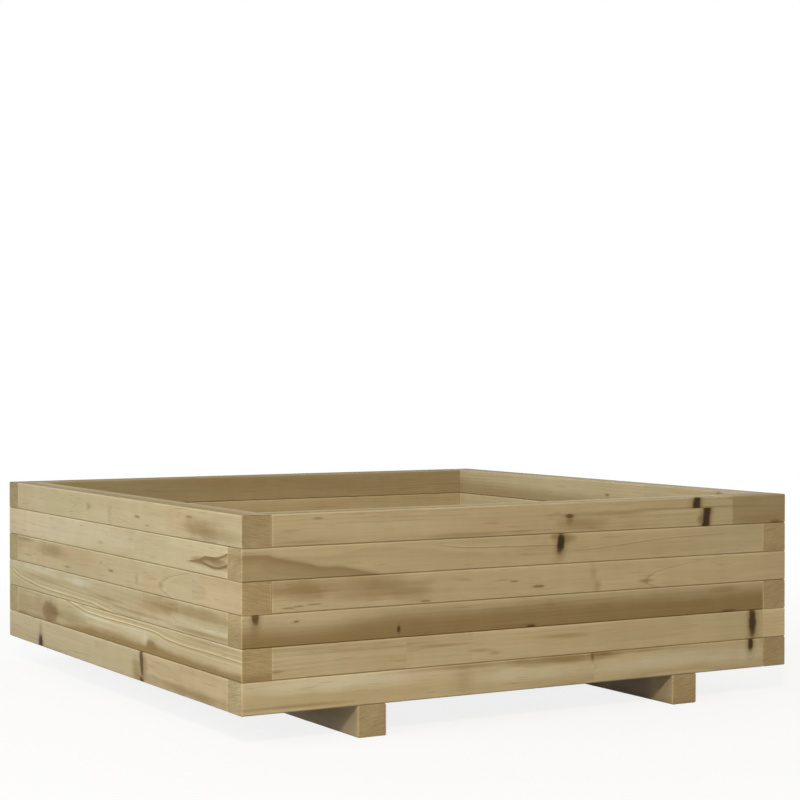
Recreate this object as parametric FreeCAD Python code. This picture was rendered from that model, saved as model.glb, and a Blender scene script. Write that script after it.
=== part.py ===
import FreeCAD, Part
import os

# A square floor planter: pine beams stacked in courses on two runners, with a slatted floor inside.
# Millimetres, +Z up. The origin is on the ground under the planter's middle, and the front faces -Y.
# Every beam covers one corner and butts at the other, and the next course turns the other way round.

# Wall of stacked beams
outer_side = 800.0
wall_thickness = 38.0
course_height = 38.0
course_count = 6

# Runners that carry the wall and the floor
runner_width = 38.0
runner_height = 38.0
runner_inset = 150.0  # from the wall's side to the runner's outer face

# Floor slats, laid across the runners with gaps for drainage
slat_width = 95.0
slat_thickness = 18.0
slat_least_gap = 6.0
slat_end_clearance = 2.0

# Planed arrises and sawn ends
arris_radius = 1.5
end_chamfer_share = 0.4  # of the arris radius

# Screws that tie each course to the one above, driven upwards
beam_screw_diameter = 4.5
beam_screw_head = 9.0
beam_screw_cover = 14.0  # wood left past the point, in the upper beam
corner_screw_share = 0.7  # of the wall's thickness, from the covering end
butt_screw_distance = 19.0  # from the butted end

# Screws through the runners, driven upwards into the lowest course
runner_screw_diameter = 5.0
runner_screw_head = 10.0
runner_screw_cover = 10.0  # wood left past the point, in the beam
runner_screw_spread_share = 0.22  # of the crossing's sides, from its middle

# Screws through the floor slats, driven down into the runners
slat_screw_diameter = 4.0
slat_screw_head = 8.0
slat_screw_cover = 16.0  # wood left past the point, in the runner
slat_screw_edge_share = 0.23  # of the slat's width, from its long edge

# What all screws share
head_sink = 0.8  # of the head under the wood's face
shank_clearance = 0.2
thread_clearance = 0.05
pilot_overdepth = 2.0
point_share = 1.5  # of the screw's diameter
drive_span_share = 0.6  # of the head's diameter
drive_slot_share = 0.14
drive_depth_share = 0.24

# One overrun serves all cuts
overrun = 5.0

end_chamfer = end_chamfer_share * arris_radius
half_side = outer_side / 2
inner_side = outer_side - 2 * wall_thickness
beam_length = outer_side - wall_thickness
runner_middle = half_side - runner_inset - runner_width / 2
slat_length = inner_side - 2 * slat_end_clearance
slat_count = int((inner_side - slat_least_gap) // (slat_width + slat_least_gap))
slat_gap = (inner_side - slat_count * slat_width) / (slat_count + 1)

SIDES = ("front", "right", "back", "left")  # anticlockwise, seen from above
UP = FreeCAD.Vector(0, 0, 1)

pieces = {}  # node name to shape
bores = {}  # node name to the screw holes in it


def eased_bar(length, width, height):
    """A planed bar along X, with its middle over the origin and its underside at Z 0."""
    corner = FreeCAD.Vector(-length / 2, -width / 2, 0)
    bar = Part.makeBox(length, width, height, corner)
    arrises = [edge for edge in bar.Edges if edge.BoundBox.XLength > length / 2]
    bar = bar.makeFillet(arris_radius, arrises)
    ends = [face for face in bar.Faces if face.BoundBox.XLength < arris_radius]
    rims = [edge for face in ends for edge in face.Edges]
    return bar.makeChamfer(end_chamfer, rims)


def turned_about_z(profile):
    """The solid that a closed outline of (radius, height) points makes round the Z axis."""
    points = [FreeCAD.Vector(radius, 0, height) for radius, height in profile]
    face = Part.Face(Part.makePolygon(points + points[:1]))
    return face.revolve(FreeCAD.Vector(), UP, 360)


def cross_recess(head):
    """The cross that a driver turns, cut down into a head whose top lies at Z 0."""
    span = drive_span_share * head
    slot = drive_slot_share * head
    depth = drive_depth_share * head
    corner = FreeCAD.Vector(-span / 2, -slot / 2, -overrun)
    bar = Part.makeBox(span, slot, depth + overrun, corner)
    crossing = bar.copy()
    crossing.rotate(FreeCAD.Vector(), UP, 90)
    return bar.fuse(crossing)


class Screw:
    """A countersunk wood screw that points along +Z, with the wood's face at Z 0."""

    def __init__(self, diameter, head, grip, bite):
        self.places = []
        radius = diameter / 2
        rim = head / 2
        neck = head_sink + rim - radius
        point = grip + bite - point_share * diameter
        body = turned_about_z(
            [
                (0, head_sink),
                (rim, head_sink),
                (radius, neck),
                (radius, point),
                (0, grip + bite),
            ]
        )
        recess = cross_recess(head)
        recess.translate(UP * head_sink)
        self.solid = body.cut(recess).Solids[0]

        wide = radius + shank_clearance
        tight = radius + thread_clearance
        self.hole = turned_about_z(
            [
                (0, -overrun),
                (rim, -overrun),
                (rim, head_sink),
                (wide, head_sink + rim - wide),
                (wide, grip),
                (tight, grip),
                (tight, grip + bite + pilot_overdepth),
                (0, grip + bite + pilot_overdepth),
            ]
        )

    def drive(self, place, *nodes):
        """Puts one screw at a place and bores the pieces that it goes through."""
        self.places.append(place)
        for node in nodes:
            bores.setdefault(node, []).append(self.hole.transformed(place.toMatrix()))

    def solids(self):
        return [self.solid.transformed(place.toMatrix()) for place in self.places]


def at(x, y, z, turn=0):
    """A place in the planter's frame, turned about the planter's own middle."""
    spin = FreeCAD.Placement(FreeCAD.Vector(), FreeCAD.Rotation(UP, turn))
    return spin.multiply(FreeCAD.Placement(FreeCAD.Vector(x, y, z), FreeCAD.Rotation()))


def pointing_down(x, y, z):
    flip = FreeCAD.Rotation(FreeCAD.Vector(1, 0, 0), 180)
    return FreeCAD.Placement(FreeCAD.Vector(x, y, z), flip)


def beam_name(side, course):
    return f"{SIDES[side % len(SIDES)]}_beam_{course}"


def course_turn(course):
    """1 where beams cover the corner ahead, going anticlockwise, and -1 where they cover the one behind."""
    return 1 if (course_count - course) % 2 == 0 else -1


def course_base(course):
    return runner_height + (course - 1) * course_height


def lay_wall_beams():
    """Four beams to a course, numbered from the ground up."""
    blank = eased_bar(beam_length, wall_thickness, course_height)
    for course in range(1, course_count + 1):
        shift = course_turn(course) * wall_thickness / 2
        for side in range(len(SIDES)):
            turn = 360 / len(SIDES) * side
            place = at(shift, wall_thickness / 2 - half_side, course_base(course), turn)
            pieces[beam_name(side, course)] = blank.transformed(place.toMatrix())


def lay_runners():
    """Two runners from front to back, flush with both faces of the wall."""
    blank = eased_bar(outer_side, runner_width, runner_height)
    blank.rotate(FreeCAD.Vector(), UP, 90)
    for name, middle in (("left_runner", -runner_middle), ("right_runner", runner_middle)):
        pieces[name] = blank.transformed(at(middle, 0, 0).toMatrix())


def slat_middle(number):
    """Where a slat lies from front to back, numbered from the front."""
    pitch = slat_width + slat_gap
    return (number - 1) * pitch + slat_gap + slat_width / 2 - inner_side / 2


def lay_floor_slats():
    """The floor, resting on the runners inside the wall."""
    blank = eased_bar(slat_length, slat_width, slat_thickness)
    for number in range(1, slat_count + 1):
        place = at(0, slat_middle(number), runner_height)
        pieces[f"floor_slat_{number}"] = blank.transformed(place.toMatrix())


def screw_courses_together():
    """Two screws to a beam: one at the corner it covers, one at its butted end."""
    bite = course_height - beam_screw_cover
    screw = Screw(beam_screw_diameter, beam_screw_head, course_height, bite)
    corner_along = half_side - corner_screw_share * wall_thickness
    corner_across = (1 - corner_screw_share) * wall_thickness - half_side
    butt_along = half_side - wall_thickness - butt_screw_distance
    butt_across = wall_thickness / 2 - half_side
    for course in range(1, course_count):
        ahead = course_turn(course)
        base = course_base(course)
        for side in range(len(SIDES)):
            turn = 360 / len(SIDES) * side
            beam = beam_name(side, course)
            corner = at(ahead * corner_along, corner_across, base, turn)
            screw.drive(corner, beam, beam_name(side + ahead, course + 1))
            butt = at(-ahead * butt_along, butt_across, base, turn)
            screw.drive(butt, beam, beam_name(side, course + 1))
    pieces["beam_screws"] = Part.makeCompound(screw.solids())


def screw_runners_on():
    """Two screws, corner to corner, wherever a runner crosses the lowest course."""
    bite = course_height - runner_screw_cover
    screw = Screw(runner_screw_diameter, runner_screw_head, runner_height, bite)
    along = runner_screw_spread_share * runner_width
    across = runner_screw_spread_share * wall_thickness
    beam_middle = half_side - wall_thickness / 2
    for runner, x in (("left_runner", -runner_middle), ("right_runner", runner_middle)):
        for side, y in ((SIDES.index("front"), -beam_middle), (SIDES.index("back"), beam_middle)):
            for step in (-1, 1):
                place = at(x + step * along, y + step * across, 0)
                screw.drive(place, runner, beam_name(side, 1))
    pieces["runner_screws"] = Part.makeCompound(screw.solids())


def screw_floor_down():
    """Two screws wherever a slat crosses a runner."""
    bite = runner_height - slat_screw_cover
    screw = Screw(slat_screw_diameter, slat_screw_head, slat_thickness, bite)
    reach = slat_width / 2 - slat_screw_edge_share * slat_width
    top = runner_height + slat_thickness
    for number in range(1, slat_count + 1):
        for runner, x in (("left_runner", -runner_middle), ("right_runner", runner_middle)):
            for y in (slat_middle(number) - reach, slat_middle(number) + reach):
                screw.drive(pointing_down(x, y, top), f"floor_slat_{number}", runner)
    pieces["floor_screws"] = Part.makeCompound(screw.solids())


def bore_pieces():
    for node, tools in bores.items():
        pieces[node] = pieces[node].cut(tools).Solids[0]


def write_parts():
    os.makedirs("parts", exist_ok=True)
    for node, shape in pieces.items():
        shape.exportStep(f"parts/{node}.step")
        box = shape.BoundBox
        size = f"{box.XLength:.1f} x {box.YLength:.1f} x {box.ZLength:.1f} mm"
        print(f"{node}: {len(shape.Solids)} solids, {size}, valid {shape.isValid()}")


lay_wall_beams()
lay_runners()
lay_floor_slats()
screw_courses_together()
screw_runners_on()
screw_floor_down()
bore_pieces()
write_parts()
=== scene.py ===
import math
import random
from dataclasses import dataclass, field

import bmesh
import bpy
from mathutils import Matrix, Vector


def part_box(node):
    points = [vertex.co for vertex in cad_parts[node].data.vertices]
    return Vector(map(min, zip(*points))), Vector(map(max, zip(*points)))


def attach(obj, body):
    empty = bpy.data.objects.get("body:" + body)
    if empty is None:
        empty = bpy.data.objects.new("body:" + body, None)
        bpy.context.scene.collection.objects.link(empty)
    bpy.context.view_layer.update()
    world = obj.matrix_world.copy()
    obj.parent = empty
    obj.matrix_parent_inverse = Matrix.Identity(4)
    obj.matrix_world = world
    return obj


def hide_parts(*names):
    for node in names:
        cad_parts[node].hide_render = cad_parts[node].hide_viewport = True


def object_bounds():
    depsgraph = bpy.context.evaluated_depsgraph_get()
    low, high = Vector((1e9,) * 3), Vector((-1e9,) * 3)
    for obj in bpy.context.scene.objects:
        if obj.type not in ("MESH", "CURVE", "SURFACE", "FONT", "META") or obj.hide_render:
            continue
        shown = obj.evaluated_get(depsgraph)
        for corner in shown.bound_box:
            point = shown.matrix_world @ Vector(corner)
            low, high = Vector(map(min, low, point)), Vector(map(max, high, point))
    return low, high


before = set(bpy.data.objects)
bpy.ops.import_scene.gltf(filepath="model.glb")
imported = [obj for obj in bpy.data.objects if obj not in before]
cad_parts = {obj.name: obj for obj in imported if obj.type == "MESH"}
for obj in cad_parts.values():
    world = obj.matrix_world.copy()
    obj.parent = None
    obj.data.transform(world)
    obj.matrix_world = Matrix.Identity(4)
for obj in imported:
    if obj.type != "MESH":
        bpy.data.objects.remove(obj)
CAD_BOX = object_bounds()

bl_info = {
    "name": "Stacked Beam Planter",
    "version": (1, 0, 0),
    "blender": (4, 5, 0),
    "location": "View3D > Sidebar > Planter",
    "description": "Dresses a square planter of stacked pine beams and sets its stage",
    "category": "Object",
}

SIDES = ("front", "right", "back", "left")  # anticlockwise, seen from above
COURSES = range(1, 7)  # from the ground up
BEAMS = [f"{side}_beam_{course}" for course in COURSES for side in SIDES]
RUNNERS = ["left_runner", "right_runner"]
SLATS = sorted(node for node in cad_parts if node.startswith("floor_slat_"))
SCREWS = ["beam_screws", "runner_screws", "floor_screws"]
SIDE = CAD_BOX[1].x - CAD_BOX[0].x
TOP = CAD_BOX[1].z

# First seeds of the bars' figures, and of their wood
WALL_SEEDS = (100, 200)
RUNNER_SEEDS = (300, 320)
FLOOR_SEEDS = (400, 420)
# How dark the runners' wood is: darker wood, lowered further as painted shade on their sides under the
# wall
RUNNER_TONE_AND_SHADE = 0.82

# How fine each pattern is: swings to a metre along, across and up a bar
RING_DRIFT = (2.6, 10, 10)
RING_FADE = (3.2, 20, 20)
ARCH_SHAKE = (9, 60, 60)
ARCH_FADE = (7, 30, 30)
KNOT_RAGS = (130, 130, 130)
KNOT_TEARS = (70, 900, 900)
STAIN_STREAKS = (9, 190, 190)
STAIN_BLOTS = (30, 40, 40)
BANDS = (1.7, 55, 55)
CLOUDS = (4, 13, 13)
HUES = (4.0, 9, 12)
MOTTLE = (42, 12, 12)
FIBRES = (10, 520, 520)
DASHES = (24, 360, 360)
VEIN_SHAKE = (14, 60, 60)
HEART_RAGS = (30, 70, 70)
RIM_SHADE_STREAKS = (3, 80, 80)
SAW_MARKS = (0, 40, 800)
TARNISH_PATCHES = (420, 420, 420)

# How far lines and limits stray, in metres
VEIN_STRAY = 0.0008
HEART_STRAY = 0.0025
RIM_SHADE_STRAY = 0.006

# How far the pattern jumps where another stave is joined on, and above a glue line
STAVE_JUMP = (0.61, 0.031, 0.047)
GLUE_JUMP = (0.43, 0.05, 0.07)

# Strips along a bar's edges: how far from the edge each starts, and where it is full, in metres; beside
# the end-grain strip they carry painted highlight and painted shade along the arrises
END_STRIP = (0.001, 0.0004)
UPPER_STRIP = (0.0026, 0.0008)
LOWER_STRIP = (0.002, 0.0006)
UPRIGHT_STRIP = (0.0024, 0.0008)
# Where the painted shade on the rim's top starts and is full, under the top and in from the side
RIM_SHADE_UNDER_TOP = (0.0012, 0.0003)
RIM_SHADE_FROM_SIDE = (0.001, 0.004)

# How light the other strips are beside that of an upper arris: painted shade along a lower arris,
# painted highlight along an upright one
LOWER_ARRIS_PAINTED_SHADE = -2.2
UPRIGHT_ARRIS_PAINTED_HIGHLIGHT = 1.6

# The painted shade on the rim's top is weaker on its inner half: where this changes across the bar, and
# what share is left
RIM_SHADE_ACROSS = (-0.008, 0.008)
INNER_RIM_SHADE = 0.4

SAW_SLANT = 0.2  # of the saw marks on an end, in radians

# How a bar is cut, rounded and shaded
SHARP = math.radians(60)
SMOOTH = math.radians(40)
ARRIS_SEGMENTS = 3
END_SEGMENTS = 2
ARRIS_SLANT = 0.35  # least share of a normal along its second axis
WEAR_MIDDLE = 0.35  # grey of the knocks that leaves an arris as it is
SINKING_SIDES = 40
SINKING_FIT = 1.03  # of the head's radius
MERGE_DISTANCE = 1e-6

# Lamps: the direction in which each stands from the planter, and its width in metres
LAMPS = {
    "key": ((-0.45, -0.72, 0.515), 0.35),
    "side": ((-0.9, -0.1, 0.42), 3.0),
    "back": ((0.85, 0.5, 0.2), 3.0),
    "rear": ((0.0, 1.0, 0.1), 1.0),
}
SENSOR_WIDTH = 36  # millimetres

# Limits on the floor, in metres from under the planter's middle
SHADE_FROM_LEFT = (-0.31, -0.27)
SHADE_FROM_FRONT = (-0.2, -0.15)
SHADE_TO = (0.37, 0.33)
COVERED_TO = (0.4, 0.35)
WHITE_FROM = (0.5, 2.0)
NEAR_WHITE = 0.84  # how white the floor is beside the planter
SEEN_FLOOR = (0.95, 0.95, 0.95)


# What a user would change

def colour_setting(name, description, default):
    return bpy.props.FloatVectorProperty(
        name=name, description=description, subtype="COLOR", size=3, min=0, max=1, default=default)


def length_setting(name, description, default):
    return bpy.props.FloatProperty(
        name=name, description=description, subtype="DISTANCE", unit="LENGTH", min=0, default=default)


def angle_setting(name, description, degrees):
    return bpy.props.FloatProperty(
        name=name, description=description, subtype="ANGLE", unit="ROTATION",
        default=math.radians(degrees))


def power_setting(name, description, default):
    return bpy.props.FloatProperty(
        name=name, description=description, subtype="POWER", unit="POWER", min=0, default=default)


def share_setting(name, description, default):
    return bpy.props.FloatProperty(
        name=name, description=description, subtype="FACTOR", min=0, max=1, default=default)


class PlanterWood(bpy.types.PropertyGroup):
    """Colours and figure of the impregnated pine"""

    sapwood: colour_setting("Sapwood", "Pale wood between the rings", (0.555, 0.468, 0.294))
    pale_sapwood: colour_setting("Pale Sapwood", "Palest patches and lines", (0.6, 0.54, 0.385))
    deep_sapwood: colour_setting("Deep Sapwood", "Dark bands along the grain", (0.425, 0.337, 0.192))
    latewood: colour_setting("Latewood", "Dark side of each growth ring", (0.24, 0.165, 0.075))
    heartwood: colour_setting("Heartwood", "Brown wood near the pith", (0.245, 0.165, 0.064))
    knot_brown: colour_setting("Knot Brown", "Live knots, and stains round others", (0.2, 0.125, 0.052))
    knot_dark: colour_setting("Knot Dark", "Bark and pitch in dead knots", (0.04, 0.026, 0.015))
    rosy: colour_setting("Rosy Cast", "How the wood reddens in places", (1.0, 0.935, 0.91))
    green: colour_setting("Green Cast", "How the impregnation greens the wood", (0.94, 0.96, 0.92))
    end_shade: colour_setting("End Grain Shade", "How end grain darkens the wood", (0.82, 0.78, 0.71))
    roughness: share_setting("Roughness", "Roughness of the planed face", 0.68)
    gloss: share_setting("Gloss", "Specular level of the dry wood", 0.06)
    relief: length_setting("Relief", "Height of the raised grain", 0.0004)
    relief_strength: share_setting("Relief Strength", "How much of the relief shows", 0.5)
    # Painted shade on the rim's top, darkest on its outer half, in streaks along the grain
    rim_painted_shade: colour_setting("Rim_Painted_Shade", "How rain darkens the outer half of the rim", (0.61, 0.58, 0.43))


class PlanterShape(bpy.types.PropertyGroup):
    """How the bars are planed and how knocks have flattened their arrises"""

    arris_radius: length_setting("Arris Radius", "Rounding of every long edge of a bar", 0.0015)
    end_ease: length_setting("End Ease", "Easing of the rim of a sawn end", 0.0006)
    wear_depth: length_setting("Wear Depth", "How far knocks flatten an arris", 0.0007)
    wear_size: length_setting("Wear Size", "Usual length of a knock along an arris", 0.02)
    wear_step: length_setting("Wear Step", "Distance between the cuts that carry the wear", 0.008)


class PlanterMetal(bpy.types.PropertyGroup):
    """The screws' plating"""

    zinc: colour_setting("Zinc", "Yellow passivated zinc", (0.62, 0.53, 0.34))
    tarnish: colour_setting("Tarnish", "Dull patches on the plating", (0.3, 0.26, 0.2))
    bright_roughness: share_setting("Bright Roughness", "Roughness of the clean plating", 0.28)
    dull_roughness: share_setting("Dull Roughness", "Roughness of the dull patches", 0.55)


class PlanterStage(bpy.types.PropertyGroup):
    """Camera, lamps, floor and background"""

    eye: bpy.props.FloatVectorProperty(
        name="Eye", description="Where the camera stands", subtype="TRANSLATION", unit="LENGTH", size=3,
        default=(-1.3496, -2.4011, 0.4271))
    tilt: angle_setting("Tilt", "How far the camera looks down", 0.79)
    turn: angle_setting("Turn", "How far the camera is turned about the vertical", -30.02)
    lens: bpy.props.FloatProperty(
        name="Lens", description="Focal length in millimetres, for a sensor 36 mm wide",
        subtype="DISTANCE_CAMERA", unit="CAMERA", min=1, default=88.07)
    lamp_distance: length_setting("Lamp Distance", "How far the lamps stand from the planter", 4.0)
    key_power: power_setting("Key Power", "Power of the warm lamp in front, on the left", 76)
    key_colour: colour_setting("Key Colour", "Colour of that lamp", (1.0, 0.86, 0.65))
    side_power: power_setting("Side Power", "Power of the broad cool lamp on the left", 93)
    side_colour: colour_setting("Side Colour", "Colour of that lamp", (0.86, 0.94, 1.0))
    back_power: power_setting("Back Power", "Power of the broad plain lamp behind, on the right", 90)
    back_colour: colour_setting("Back Colour", "Colour of that lamp", (1, 1, 1))
    rear_power: power_setting("Rear Power", "Power of the low plain lamp straight behind", 70)
    rear_colour: colour_setting("Rear Colour", "Colour of that lamp", (1, 1, 1))
    sky: share_setting("Sky", "Strength of the even light from all round", 0.18)
    floor: colour_setting("Floor", "Colour of the floor as the planter sees it", (0.6, 0.6, 0.6))
    floor_side: length_setting("Floor Side", "Side of the square floor", 40)
    glow: colour_setting("Glow", "Light that the floor under the planter adds", (0.1, 0.1, 0.16))


# Short ways to build node trees

class Graph:
    """A node tree, with short ways to add nodes to it and wire them"""

    def __init__(self, tree):
        self.tree = tree

    @classmethod
    def group(cls, name, inputs, outputs):
        """A new group, whose given and result hold its own inputs and outputs"""
        tree = bpy.data.node_groups.new(name, "ShaderNodeTree")
        for direction, sockets in (("INPUT", inputs), ("OUTPUT", outputs)):
            for label, kind in sockets.items():
                tree.interface.new_socket(label, in_out=direction, socket_type=f"NodeSocket{kind}")
        graph = cls(tree)
        graph.given = tree.nodes.new("NodeGroupInput").outputs
        graph.result = tree.nodes.new("NodeGroupOutput").inputs
        return graph

    @classmethod
    def material(cls, name):
        """A new material's emptied tree"""
        made = bpy.data.materials.new(name)
        made.use_nodes = True
        made.node_tree.nodes.clear()
        graph = cls(made.node_tree)
        graph.made = made
        return graph

    def wire(self, value, socket):
        if isinstance(value, bpy.types.NodeSocket):
            self.tree.links.new(value, socket)
        else:
            socket.default_value = value

    def add(self, kind, inputs=None, **settings):
        node = self.tree.nodes.new(kind)
        for label, value in settings.items():
            setattr(node, label, value)
        for label, value in (inputs or {}).items():
            self.wire(value, node.inputs[label])
        return node

    def use(self, tree, **inputs):
        """One instance of a group, with its inputs wired by their names"""
        node = self.add("ShaderNodeGroup", node_tree=tree)
        for label, value in inputs.items():
            self.wire(value, node.inputs[label.capitalize()])
        return node.outputs

    def surface(self, shader):
        output = self.add("ShaderNodeOutputMaterial")
        self.wire(shader.outputs[0], output.inputs["Surface"])
        return self.made

    def math(self, operation, *values):
        node = self.add("ShaderNodeMath", operation=operation)
        for socket, value in zip(node.inputs, values):
            self.wire(value, socket)
        return node.outputs[0]

    def product(self, first, *others):
        for value in others:
            first = self.math("MULTIPLY", first, value)
        return first

    def total(self, first, *others):
        for value in others:
            first = self.math("ADD", first, value)
        return first

    def weighted(self, first, *others):
        """A value, and others added to it, each with its weight"""
        for value, weight in others:
            first = self.math("MULTIPLY_ADD", value, weight, first)
        return first

    def largest(self, first, *others):
        for value in others:
            first = self.math("MAXIMUM", first, value)
        return first

    def clamped(self, value):
        return self.add("ShaderNodeClamp", {"Value": value}).outputs[0]

    def vector(self, operation, *values):
        node = self.add("ShaderNodeVectorMath", operation=operation)
        for socket, value in zip(node.inputs, values):
            self.wire(value, socket)
        return node.outputs["Value" if operation in ("LENGTH", "DOT_PRODUCT") else "Vector"]

    def scaled(self, value, factor):
        node = self.add("ShaderNodeVectorMath", operation="SCALE")
        self.wire(value, node.inputs[0])
        self.wire(factor, node.inputs["Scale"])
        return node.outputs["Vector"]

    def split(self, value):
        return self.add("ShaderNodeSeparateXYZ", {"Vector": value}).outputs

    def noise(self, place, stretch, detail=2.0, roughness=0.5, output="Fac"):
        """Noise with so many swings to a metre along each axis"""
        spread = self.vector("MULTIPLY", place, stretch)
        settings = {"Vector": spread, "Scale": 1.0, "Detail": detail, "Roughness": roughness}
        return self.add("ShaderNodeTexNoise", settings).outputs[output]

    def swing(self, place, stretch, detail=2.0, roughness=0.5, gain=2.4):
        """The same noise about zero, mostly from -1 to 1"""
        middle = self.math("SUBTRACT", self.noise(place, stretch, detail, roughness), 0.5)
        return self.math("MULTIPLY", middle, gain)

    def smooth(self, value, start, end, low=0.0, high=1.0):
        """A soft step from low to high while the value goes from start to end"""
        limits = {"Value": value, "From Min": start, "From Max": end, "To Min": low, "To Max": high}
        return self.add("ShaderNodeMapRange", limits, interpolation_type="SMOOTHSTEP").outputs[0]

    def linear(self, value, low, high):
        """From low to high while the value goes from 0 to 1"""
        limits = {"Value": value, "To Min": low, "To Max": high}
        return self.add("ShaderNodeMapRange", limits).outputs[0]

    def mix(self, factor, first, second, blend="MIX"):
        node = self.add("ShaderNodeMix", data_type="RGBA", blend_type=blend)
        self.wire(factor, node.inputs[0])
        for socket, value in ((node.inputs[6], first), (node.inputs[7], second)):
            self.wire(value if isinstance(value, bpy.types.NodeSocket) else (*value, 1.0), socket)
        return node.outputs[2]

    def curve(self, value, points):
        """A smooth curve through given points"""
        node = self.add("ShaderNodeFloatCurve", {"Value": value})
        node.mapping.use_clip = False
        node.mapping.extend = "HORIZONTAL"
        line = node.mapping.curves[0].points
        for _ in points[2:]:
            line.new(0.5, 0.5)
        for point, place in zip(line, sorted(points)):
            point.location = place
        node.mapping.update()
        return node.outputs[0]


# Pine: grain lines, knots and finish

def grain_line(graph, phase, dark_share, pale_share=0.3, pale=0.5, sharp=0.05):
    """A dark line that ends sharply, with a pale one after it, once in every step of the phase"""
    share = graph.math("FRACT", phase)
    darkens = graph.smooth(share, 1 - dark_share, 1 - sharp)
    dark = graph.product(darkens, graph.smooth(share, 1.0, 1 - sharp))
    fades = graph.smooth(share, pale_share, sharp)
    light = graph.product(graph.smooth(share, 0.0, sharp), fades)
    return graph.math("MULTIPLY_ADD", light, -pale, dark)


def pine_group(name, inputs, outputs):
    """A new group that is given a place in the wood and a seed, its inputs, and the place so seeded"""
    graph = Graph.group(f"pine_{name}", {"Place": "Vector", "Seed": "Vector", **inputs}, outputs)
    given = graph.given
    return graph, given, graph.vector("ADD", given["Place"], given["Seed"])


def pine_rings_group():
    """Growth rings round the pith, as lines that come and go"""
    inputs = {"Pith": "Vector", "Slope": "Vector", "Spacing": "Float", "Wander": "Float",
              "Bulge": "Float"}
    graph, given, seeded = pine_group("rings", inputs, {"Line": "Float"})
    noise = graph.noise(seeded, RING_DRIFT, 3.0, 0.5, "Color")
    drift = graph.scaled(graph.vector("SUBTRACT", noise, (0.5, 0.5, 0.5)), given["Wander"])
    along = graph.split(given["Place"])["X"]
    axis = graph.vector("ADD", given["Pith"], graph.scaled(given["Slope"], along))
    spoke = graph.vector("SUBTRACT", graph.vector("ADD", given["Place"], drift), axis)
    radius = graph.vector("LENGTH", graph.vector("MULTIPLY", spoke, (0, 1, 1)))
    phase = graph.math("DIVIDE", graph.total(radius, given["Bulge"]), given["Spacing"])
    number = graph.total(graph.math("FLOOR", phase), graph.split(given["Seed"])["X"])
    chance = graph.add("ShaderNodeTexWhiteNoise", {"W": number}, noise_dimensions="1D").outputs["Value"]
    fade = graph.smooth(graph.noise(seeded, RING_FADE), 0.36, 0.66, 0.12, 1.0)
    strength = graph.product(fade, graph.linear(graph.math("POWER", chance, 1.5), 0.25, 1.0))
    graph.wire(graph.product(grain_line(graph, phase, 0.6), strength), graph.result["Line"])
    return graph.tree


def pine_arch_group():
    """Nested arches where a flat-sawn face cuts a ring's tip"""
    inputs = {"Tip": "Vector", "Opening": "Float", "Bow": "Float", "Step": "Float", "Count": "Float"}
    graph, given, seeded = pine_group("arch", inputs, {"Line": "Float"})
    apart = graph.vector("SUBTRACT", given["Place"], given["Tip"])
    across = graph.vector("LENGTH", graph.vector("MULTIPLY", apart, (0, 1, 1)))
    ahead = graph.product(graph.split(apart)["X"], given["Opening"])
    inside = graph.math("SUBTRACT", ahead, graph.product(across, across, given["Bow"]))
    shaky = graph.product(graph.swing(seeded, ARCH_SHAKE, 3.0), 0.2)
    phase = graph.total(graph.math("DIVIDE", inside, given["Step"]), shaky)
    begun = graph.smooth(phase, -0.35, 0.0)
    ended = graph.smooth(phase, given["Count"], 0.0)
    fade = graph.smooth(graph.noise(seeded, ARCH_FADE), 0.35, 0.6, 0.3, 1.0)
    line = grain_line(graph, graph.total(phase, -0.02), 0.3)
    graph.wire(graph.product(line, begun, ended, fade), graph.result["Line"])
    return graph.tree


def pine_knot_group():
    """One knot: an egg in the wood with ragged edges, a stain round it, and a bulge in the rings"""
    inputs = {"Centre": "Vector", "Reach": "Vector", "Lean": "Float"}
    outputs = {name: "Float" for name in ("Mask", "Core", "Rim", "Halo", "Bulge")}
    graph, given, seeded = pine_group("knot", inputs, outputs)
    apart = graph.vector("SUBTRACT", given["Place"], given["Centre"])
    leant = graph.scaled((1, 0, 0), graph.product(graph.split(apart)["Z"], given["Lean"]))
    apart = graph.vector("SUBTRACT", apart, leant)
    far = graph.vector("LENGTH", graph.vector("DIVIDE", apart, given["Reach"]))
    ragged = graph.product(graph.swing(seeded, KNOT_RAGS, 3.0), 0.22)
    torn = graph.product(graph.swing(seeded, KNOT_TEARS), 0.12)
    edge = graph.total(far, ragged, torn)
    graph.wire(graph.smooth(edge, 1.25, 0.75), graph.result["Mask"])
    graph.wire(graph.smooth(edge, 1.05, 0.5), graph.result["Core"])
    rim = graph.product(graph.smooth(edge, 0.6, 0.95), graph.smooth(edge, 1.25, 0.95))
    graph.wire(rim, graph.result["Rim"])
    halo = graph.smooth(graph.total(far, ragged), 2.8, 0.8)
    graph.wire(graph.product(halo, halo), graph.result["Halo"])
    graph.wire(graph.smooth(far, 2.8, 0.5), graph.result["Bulge"])
    return graph.tree


def pine_stain_group():
    """A soft patch whose edges run out in streaks along the grain"""
    inputs = {"Centre": "Vector", "Reach": "Vector"}
    graph, given, seeded = pine_group("stain", inputs, {"Mask": "Float"})
    apart = graph.vector("SUBTRACT", given["Place"], given["Centre"])
    far = graph.vector("LENGTH", graph.vector("DIVIDE", apart, given["Reach"]))
    streaks = graph.product(graph.swing(seeded, STAIN_STREAKS, 3.0, 0.6), 0.3)
    blots = graph.product(graph.swing(seeded, STAIN_BLOTS), 0.25)
    graph.wire(graph.smooth(graph.total(far, streaks, blots), 1.15, 0.1), graph.result["Mask"])
    return graph.tree


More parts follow.
